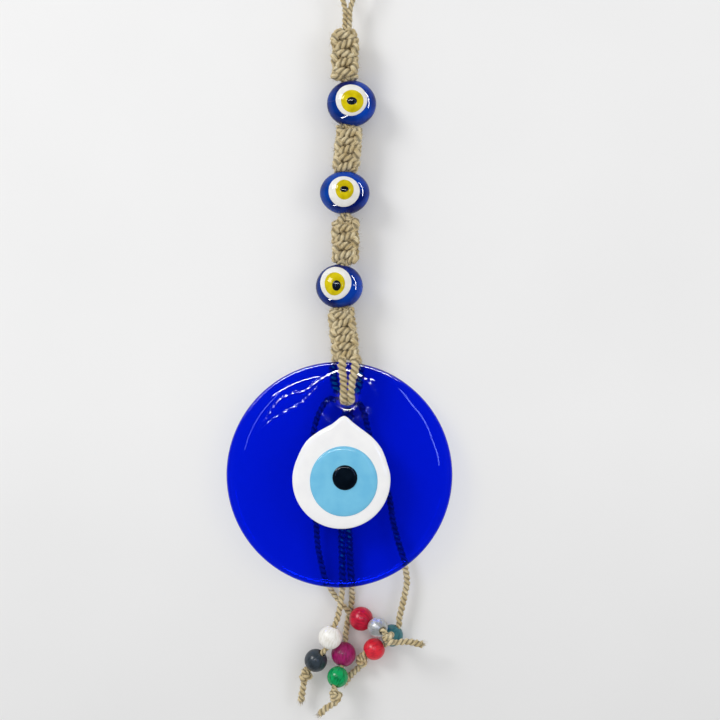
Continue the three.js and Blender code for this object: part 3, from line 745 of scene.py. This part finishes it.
# Glass
def cobaltGlass():  # cast cobalt glass, fire polished: a saturated blue that darkens over what is behind it
    material, tree = newMaterial("cobaltGlass")
    blue = hexToLinear("#001DEE")
    place = addNode(tree, "ShaderNodeTexCoord")
    wave = addNode(tree, "ShaderNodeTexNoise", {"Scale": 60.0, "Detail": 1.0},
                   {"Vector": place.outputs["Object"]})
    bump = addNode(tree, "ShaderNodeBump", {"Strength": 0.12, "Distance": 0.001},
                   {"Height": wave.outputs["Fac"]})
    glass = addNode(tree, "ShaderNodeBsdfPrincipled", {
        "Base Color": blue, "Roughness": 0.03, "IOR": 1.5, "Transmission Weight": 1.0},
        {"Normal": bump.outputs[0]})
    clear = addNode(tree, "ShaderNodeBsdfTransparent", {"Color": hexToLinear("#ECEEF8")})
    path = addNode(tree, "ShaderNodeLightPath")
    soft = addNode(tree, "ShaderNodeMath", {"operation": "MAXIMUM"},
                   {0: path.outputs["Is Shadow Ray"], 1: path.outputs["Is Diffuse Ray"]})
    mix = addNode(tree, "ShaderNodeMixShader", {}, {0: soft.outputs[0], 1: glass.outputs[0],
                                                    2: clear.outputs[0]})
    addNode(tree, "ShaderNodeOutputMaterial", {}, {"Surface": mix.outputs[0]})
    return material


def enamelGlass(name, light, dark, scale=180.0):  # opaque soda glass, melted smooth
    material, tree = newMaterial(name)
    place = addNode(tree, "ShaderNodeTexCoord")
    cloud = addNode(tree, "ShaderNodeTexNoise", {"Scale": scale, "Detail": 2.0},
                    {"Vector": place.outputs["Object"]})
    colour = addNode(tree, "ShaderNodeValToRGB", {"stops": [(0.35, dark), (0.65, light)]},
                     {"Fac": cloud.outputs["Fac"]})
    bump = addNode(tree, "ShaderNodeBump", {"Strength": 0.06, "Distance": 0.001},
                   {"Height": cloud.outputs["Fac"]})
    shader = addNode(tree, "ShaderNodeBsdfPrincipled", {
        "Roughness": 0.06, "IOR": 1.5}, {"Base Color": colour.outputs["Color"], "Normal": bump.outputs[0]})
    addNode(tree, "ShaderNodeOutputMaterial", {}, {"Surface": shader.outputs[0]})
    return material


# Casting ripples on the front, as (x, z) from the disc's middle
ripples = [
    {"line": [(-36, 17.5), (-31, 26), (-26, 33), (-20.5, 35.5), (-15, 37), (-9.5, 41), (-2, 45), (4, 45.6),
              (10, 43), (14, 39.5),
              (17, 32.5)], "height": 0.46, "width": 0.7},
    {"line": [(-35, 19.5), (-29, 24.5), (-22, 28.5), (-15.5, 32.5), (-9.5, 39)], "height": 0.46,
     "width": 0.7},
    {"line": [(5.5, 23.8), (11.5, 26.4), (12.7, 29.2), (13.4, 26.2)], "height": 0.42, "width": 0.65},
    {"line": [(-7.5, 27.2), (-5.2, 24.4), (-3, 22.4)], "height": 0.42, "width": 0.65},
    {"line": [(-5.4, 33.0), (-4.2, 30.2), (-2.6, 28.3)], "height": 0.3, "width": 0.65},
]


def lipDrop(x, z):  # how far the glass has rounded over into the hole, from 0 to 1
    h = np.clip((np.hypot(x - holeAt[0], z - holeAt[1]) - disc["holeRadius"]) / disc["lip"], 0, 1)
    return 1 - np.sqrt(np.clip(1 - (1 - h) ** 2, 0, 1))


def frontDepth(x, z):  # y of the disc's front, from the disc's middle in x and z
    out = np.hypot(x, z)
    t = np.clip((out - (disc["radius"] - disc["bevel"])) / disc["bevel"], 0, 1)
    rim = disc["bevelDrop"] * t**2.2
    dimple = disc["frontLip"] * lipDrop(x, z)
    ring = 0.12 * np.exp(-((np.hypot(x - holeAt[0], z - holeAt[1]) - 7.2) / 1.5) ** 2)
    wave = 0.10 * np.sin(0.13 * x + 0.6) * np.cos(0.11 * z - 0.4) + 0.05 * np.sin(0.31 * x - 0.23 * z)
    return -(disc["half"] - rim - dimple + ring - 0.12 + wave * (1 - t))


def rippleHeight(x, z):  # the ripples' own relief, left out under the eye
    height = np.zeros_like(x)
    for ripple in ripples:
        flat = smoothRoute([(px, 0, pz) for px, pz in ripple["line"]], 0.25)[:, (0, 2)]
        along = np.linspace(0, 1, len(flat))
        beat = 0.7 + 0.3 * np.sin(along * 2.1 * len(flat) / 4) * np.sin(along * 23 + 1)
        fade = np.clip(np.minimum(along, 1 - along) / 0.08, 0, 1)
        nearX = np.abs(x - flat[:, 0].mean()) < np.ptp(flat[:, 0]) / 2 + 4
        nearZ = np.abs(z - flat[:, 1].mean()) < np.ptp(flat[:, 1]) / 2 + 4
        where = np.flatnonzero(nearX & nearZ)
        for chunk in np.array_split(where, max(1, len(where) // 2000)):
            away = np.hypot(x[chunk, None] - flat[:, 0], z[chunk, None] - flat[:, 1])
            best = away.argmin(axis=1)
            distance = away[np.arange(len(chunk)), best]
            crest = ripple["height"] * (beat * fade)[best] * np.exp(-(distance / ripple["width"]) ** 2)
            height[chunk] = np.maximum(height[chunk], crest)
    return height


def buildDisc():
    sides, faceRings = 640, 150
    around = 2 * np.pi * np.arange(sides) / sides
    rings = []
    shares = np.concatenate([np.linspace(0, 0.06, 8)[:-1], np.linspace(0.06, 0.8, faceRings)[:-1],
                             np.linspace(0.8, 1, 24)])
    flat = disc["radius"] - disc["edge"]

    def ring(share):  # from the hole's edge to the disc's
        centre = holeAt * (1 - share)
        radius = disc["holeRadius"] + (flat - disc["holeRadius"]) * share
        return centre[0] + radius * np.cos(around), centre[1] + radius * np.sin(around)

    for x, z in [ring(share) for share in shares]:
        rings.append(np.stack([x, frontDepth(x, z) - rippleHeight(x, z), z], axis=1))
    frontEdge = rings[-1]
    for t in np.linspace(0, np.pi, 14)[1:-1]:
        radius = flat + disc["edge"] * np.sin(t)
        y0, y1 = frontEdge[:, 1], disc["half"] - disc["backRound"]
        y = (y0 + y1) / 2 - (y1 - y0) / 2 * np.cos(t)
        rings.append(np.stack([radius * np.cos(around), y, radius * np.sin(around)], axis=1))
    for x, z in [ring(share) for share in np.linspace(1, 0, 40)]:
        t = np.clip((np.hypot(x, z) - 42) / 8, 0, 1)
        back = disc["half"] - disc["backRound"] * t**2 - disc["backLip"] * lipDrop(x, z)
        rings.append(np.stack([x, back, z], axis=1))
    backY, frontY = rings[-1][:, 1], rings[0][:, 1]
    for t in np.linspace(0, 1, 9)[1:-1]:
        radius = disc["holeRadius"] - disc["waist"] * math.sin(math.pi * t)
        rings.append(np.stack([holeAt[0] + radius * np.cos(around), backY + (frontY - backY) * t,
                               holeAt[1] + radius * np.sin(around)], axis=1))
    verts = np.vstack(rings) + discMiddle
    faces = closedFaces(len(rings), sides)
    piece = addMesh("disc_cobalt", verts, [f[::-1] for f in faces], cobaltGlass())
    settle(piece, "disc_glass", "cobalt_glass")


def dome(outline, surface, height, sink, edge):  # a fused layer, domed, lying on the surface behind it
    shares = np.sin(np.linspace(0, np.pi / 2, 14))
    around = len(outline)
    centre = outline.mean(axis=0)
    verts = [np.array([[centre[0], surface(centre[0], centre[1]) - height, centre[1]]])]
    for share in shares[1:]:
        xz = centre + (outline - centre) * share
        lift = height * np.sqrt(np.clip(1 - share ** (2 / edge), 0, 1))
        verts.append(np.stack([xz[:, 0], surface(xz[:, 0], xz[:, 1]) - lift, xz[:, 1]], axis=1))
    base = centre + (outline - centre) * 0.985
    verts.append(np.stack([base[:, 0], surface(base[:, 0], base[:, 1]) + sink, base[:, 1]], axis=1))
    verts.append(np.array([[centre[0], surface(centre[0], centre[1]) + sink, centre[1]]]))
    rows = len(shares)
    faces = [(0, 1 + j, 1 + (j + 1) % around) for j in range(around)]
    for i in range(rows - 1):
        a, b = 1 + i * around, 1 + (i + 1) * around
        faces += [(a + j, b + j, b + (j + 1) % around, a + (j + 1) % around) for j in range(around)]
    last = 1 + rows * around
    faces += [(last, 1 + (rows - 1) * around + (j + 1) % around,
               1 + (rows - 1) * around + j) for j in range(around)]
    return np.vstack(verts), faces


def raisedOn(below, outline, height, edge):  # the surface behind with the layer's dome on it
    centre = outline.mean(axis=0)
    reach = np.linalg.norm(outline - centre, axis=1).min()

    def surface(x, z):
        share = np.clip(np.hypot(x - centre[0], z - centre[1]) / reach, 0, 1)
        return below(x, z) - height * np.sqrt(np.clip(1 - share ** (2 / edge), 0, 1))

    return surface


def dropOutline(radius=21.6):  # a round drop with a soft tip, as it was poured
    flanks = [(26, 21.7), (38, 22.4), (53, 23.1), (70, 24.3), (80, 26.2), (84.5, 27.7), (87.6, 28.2),
              (91, 27.5),
              (98, 25.3), (117, 23.5), (133, 22.9), (154, 21.7)]
    steps = [(angle, radius) for angle in range(170, 380, 14)]
    points = [(r * math.cos(math.radians(a)), 0, r * math.sin(math.radians(a))) for a, r in flanks + steps]
    return smoothRoute([*points, points[0]], 0.8)[:-1, (0, 2)]


def ovalOutline(width, height, egg, turn, wobble=0.0):
    angle = np.linspace(0, 2 * np.pi, 96, endpoint=False)
    r = 1 + egg * np.cos(angle - turn) + wobble * np.sin(3 * angle + 1)
    return np.stack([width / 2 * r * np.cos(angle), height / 2 * r * np.sin(angle)], axis=1)


discEye = {
    "white": {"middle": (0.9, -2.0), "height": 0.9, "slot": "opal_glass"},
    "iris": {"middle": (1.6, -2.2), "height": 0.8, "size": (29.8, 31.0), "slot": "sky_glass"},
    "pupil": {"middle": (2.5, -1.0), "height": 0.7, "size": (11.0, 11.0), "slot": "ink_glass"},
}
discEyeEdge = 0.22  # how sharply a layer falls off at its rim


def buildDiscEye(paints):
    depth = frontDepth
    for layer, facts in discEye.items():
        if layer == "white":
            outline = dropOutline()
        elif layer == "iris":
            outline = ovalOutline(*facts["size"], egg=0.035, turn=-0.8)
        else:
            outline = ovalOutline(*facts["size"], egg=0.02, turn=2.0)
        outline = outline + np.array(facts["middle"])
        verts, faces = dome(outline, depth, facts["height"], 0.25, discEyeEdge)
        piece = addMesh(f"disc_eye_{layer}", verts + discMiddle, faces, paints[layer])
        settle(piece, f"disc_{layer}", facts["slot"])
        depth = raisedOn(depth, outline, facts["height"], discEyeEdge)


eyeBeadLooks = [
    {"eye": (-0.1, 0.3), "white": (13.9, 13.9), "iris": (9.9, 9.9), "pupil": (4.4, 3.4),
     "irisEye": (0.3, -0.4), "pupilEye": (0.2, -0.4), "egg": 0.03, "turn": 1.0},
    {"eye": (-0.2, -0.3), "white": (13.7, 13.4), "iris": (8.0, 8.8), "pupil": (3.7, 2.7),
     "irisEye": (0.0, 0.4), "pupilEye": (-0.1, 0.6), "egg": 0.03, "turn": 2.0},
    {"eye": (-1.3, 0.9), "white": (13.7, 14.6), "iris": (9.0, 10.2), "pupil": (3.8, 4.6),
     "irisEye": (-1.8, 0.6), "pupilEye": (-1.1, -0.1), "egg": 0.05, "turn": 2.4},
]
beadLayers = [("white", "eye", 0.3, "bead_white_glass"), ("iris", "irisEye", 0.22, "bead_yellow_glass"),
              ("pupil", "pupilEye", 0.18, "bead_black_glass")]
eyeBead = {"depth": 17.0, "bore": 2.71, "boreStep": 0.15, "mouth": 1.2, "sink": 0.3, "edge": 0.3}


def buildEyeBeads(glass, paints):
    sides = 96
    around = 2 * np.pi * np.arange(sides) / sides
    for number, (bead, look) in enumerate(zip(eyeBeads, eyeBeadLooks), 1):
        a, b, h = bead["width"] / 2, eyeBead["depth"] / 2, bead["height"] / 2
        boreX, bore = bead["threadX"] - bead["x"], eyeBead["bore"]
        start = math.asin(bore / a)
        upper = []
        for t in np.linspace(0, 1, 40):
            psi = start + (math.pi / 2 - start) * t
            s = math.sin(psi)
            rx, ry = a * s, b * s
            blendIn = max(0.0, 1 - 4 * t)
            ry = ry * (1 - blendIn) + bore * blendIn
            x = boreX * (1 - t) ** 1.2 + rx * np.cos(around)
            y = ry * np.sin(around)
            wobble = 1 + 0.012 * np.sin(2 * around + number) + 0.008 * np.sin(3 * around + 2 * number)
            z = h * np.sqrt(np.clip(1 - (x / a) ** 2 - (y / b) ** 2, 0, 1))
            upper.append(np.stack([x * (1 + (wobble - 1) * t), y, z], axis=1))
        lower = [ring * np.array((1, 1, -1)) for ring in upper[::-1][1:]]
        narrow = bore - eyeBead["boreStep"]
        inside = [np.stack([boreX + narrow * np.cos(around), narrow * np.sin(around), np.full(sides, z)],
                           axis=1)
                  for z in np.linspace(-h + eyeBead["mouth"], h - eyeBead["mouth"], 6)]
        rings = upper + lower + inside
        faces = closedFaces(len(rings), sides)
        at = np.array((bead["x"], 0, bead["z"]))
        piece = addMesh(f"eye_bead_{number}_blue", np.vstack(rings) + at, [f[::-1] for f in faces], glass)
        settle(piece, f"eye_bead_{number}_glass", "bead_blue_glass")

        def depth(x, z, a=a, b=b, h=h):
            return -b * np.sqrt(np.clip(1 - (x / a) ** 2 - (z / h) ** 2, 0.02, 1))

        for layer, eye, height, slotName in beadLayers:
            outline = ovalOutline(*look[layer], egg=look["egg"], turn=look["turn"], wobble=0.012)
            outline = outline + np.array(look[eye])
            verts, faces = dome(outline, depth, height, eyeBead["sink"], eyeBead["edge"])
            inlay = addMesh(f"eye_bead_{number}_{layer}_dome", verts + at, faces, paints[layer])
            settle(inlay, f"eye_bead_{number}_{layer}", slotName)
            depth = raisedOn(depth, outline, height, eyeBead["edge"])


def beadBlueGlass():  # lamp-worked blue glass: deep and dark at the core, brighter where it is thin
    material, tree = newMaterial("lampworkBlueGlass")
    place = addNode(tree, "ShaderNodeTexCoord")
    streak = addNode(tree, "ShaderNodeTexNoise", {"Scale": 90.0, "Detail": 2.0},
                     {"Vector": place.outputs["Object"]})
    colour = addNode(tree, "ShaderNodeValToRGB", {"stops": [(0.35, "#011660"), (0.65, "#0944A8")]},
                     {"Fac": streak.outputs["Fac"]})
    bump = addNode(tree, "ShaderNodeBump", {"Strength": 0.08, "Distance": 0.001},
                   {"Height": streak.outputs["Fac"]})
    shader = addNode(tree, "ShaderNodeBsdfPrincipled", {
        "Roughness": 0.04, "IOR": 1.5, "Specular IOR Level": 0.2, "Transmission Weight": 0.12},
        {"Base Color": colour.outputs["Color"], "Normal": bump.outputs[0]})
    addNode(tree, "ShaderNodeOutputMaterial", {}, {"Surface": shader.outputs[0]})
    return material


buildDisc()
buildDiscEye({
    "white": enamelGlass("opalGlass", "#FCFCFC", "#F8F8F9"),
    "iris": enamelGlass("skyGlass", "#7DCAEC", "#73C2E8"),
    "pupil": enamelGlass("inkGlass", "#0B1520", "#040B14"),
})
buildEyeBeads(beadBlueGlass(), {
    "white": enamelGlass("beadWhiteGlass", "#F4F3EE", "#E9E8E2", 300.0),
    "iris": enamelGlass("beadYellowGlass", "#DECB14", "#C2AE06", 300.0),
    "pupil": enamelGlass("beadBlackGlass", "#1A2330", "#0C121C", 300.0),
})


def linkLamps(name, lamps, pieces):  # lamps that light only these pieces
    lit = bpy.data.collections.new(name)
    for piece in pieces:
        lit.objects.link(bpy.data.objects[piece])
    for lamp in lamps:
        lamp.light_linking.receiver_collection = lit


linkLamps("rippleGlass", [rippleGlint], ["disc_cobalt"])
linkLamps("beadGlass", beadLamps, ["eye_bead_1_blue", "eye_bead_2_blue", "eye_bead_3_blue"])
print("glass is in")


# Wooden beads
woodLooks = {
    "red": ("#D00636", "#980A2A", 0.28, 0.0), "scarlet": ("#F0283C", "#C41C34", 0.3, 0.0),
    "white": ("#FBF9F4", "#E6E2D8", 0.35, 0.0), "black": ("#37424C", "#20282E", 0.3, 0.0),
    "purple": ("#A8186A", "#7C0E46", 0.32, 0.0), "green": ("#06AA60", "#046E3C", 0.16, 0.0),
    "teal": ("#3C8088", "#28606A", 0.3, 0.0), "silver": ("#DDE0E2", "#B8BCBE", 0.36, 0.6),
}


def lacquer(name, light, dark, roughness, metallic):  # aniline stain under thin lacquer: grain shows through
    material, tree = newMaterial(name + "LacqueredWood")
    place = addNode(tree, "ShaderNodeUVMap", {"uv_map": "along"})
    long = addNode(tree, "ShaderNodeMapping", {"Scale": (26.0, 0.22, 1.0)}, {"Vector": place.outputs["UV"]})
    grain = addNode(tree, "ShaderNodeTexNoise", {"Scale": 1.6, "Detail": 4.0, "Roughness": 0.6},
                    {"Vector": long.outputs[0]})
    colour = addNode(tree, "ShaderNodeValToRGB", {"stops": [(0.34, dark), (0.58, light)]},
                     {"Fac": grain.outputs["Fac"]})
    bump = addNode(tree, "ShaderNodeBump", {"Strength": 0.25, "Distance": 0.0002},
                   {"Height": grain.outputs["Fac"]})
    shader = addNode(tree, "ShaderNodeBsdfPrincipled", {
        "Roughness": roughness, "Metallic": metallic, "Coat Weight": 0.2, "Coat Roughness": 0.15},
        {"Base Color": colour.outputs["Color"], "Normal": bump.outputs[0]})
    addNode(tree, "ShaderNodeOutputMaterial", {}, {"Surface": shader.outputs[0]})
    return material


woodBead = {"bore": 1.5, "soft": 0.45, "dent": 0.006}


def buildWoodBeads():
    sides = 56
    around = 2 * np.pi * np.arange(sides) / sides
    for name, (centre, axis, diameter) in beadPlaces.items():
        colour = name.split("_")[-1]
        light, dark, roughness, metallic = woodLooks[colour]
        radius, bore, soft = diameter / 2, woodBead["bore"], woodBead["soft"]
        mouth = math.acos((bore + soft) / radius)
        profile = [(radius * math.cos(t), radius * math.sin(t)) for t in np.linspace(-mouth, mouth, 30)]
        top = profile[-1][1]
        inner = [(bore + soft * (1 - math.sin(t)), top - soft * 0.4 - soft * (1 - math.cos(t)) * 0.8)
                 for t in np.linspace(0.3, 1.57, 4)]
        profile = profile + inner + [(r, -z) for r, z in inner[::-1]]
        rings = []
        phase = rng.uniform(0, 6)
        for r, z in profile:
            dent = 1 + woodBead["dent"] * np.sin(2 * around + phase) * (r > bore + 1)
            rings.append(np.stack([r * dent * np.cos(around), r * dent * np.sin(around), np.full(sides, z)],
                                  axis=1))
        first = np.cross(axis, (0.2, 0.9, 0.35))
        first /= np.linalg.norm(first)
        second = np.cross(axis, first)
        verts = centre + np.vstack(rings) @ np.array([first, second, axis])
        count = len(rings)
        faces, uvs = [], []
        heights = np.cumsum([0] + [math.dist(profile[i], profile[i + 1]) for i in range(count - 1)] + [0.5])
        for i in range(count):
            for j in range(sides):
                k, n = (j + 1) % sides, (i + 1) % count
                faces.append((i * sides + j, i * sides + k, n * sides + k, n * sides + j))
                left, right, low, high = j / sides, (j + 1) / sides, heights[i], heights[i + 1]
                uvs += [(left, low), (right, low), (right, high), (left, high)]
        piece = addMesh(name + "_turned", verts, faces, lacquer(colour, light, dark, roughness, metallic),
                        uvs)
        settle(piece, name, "wood_" + colour)


buildWoodBeads()
print("wooden beads are on")
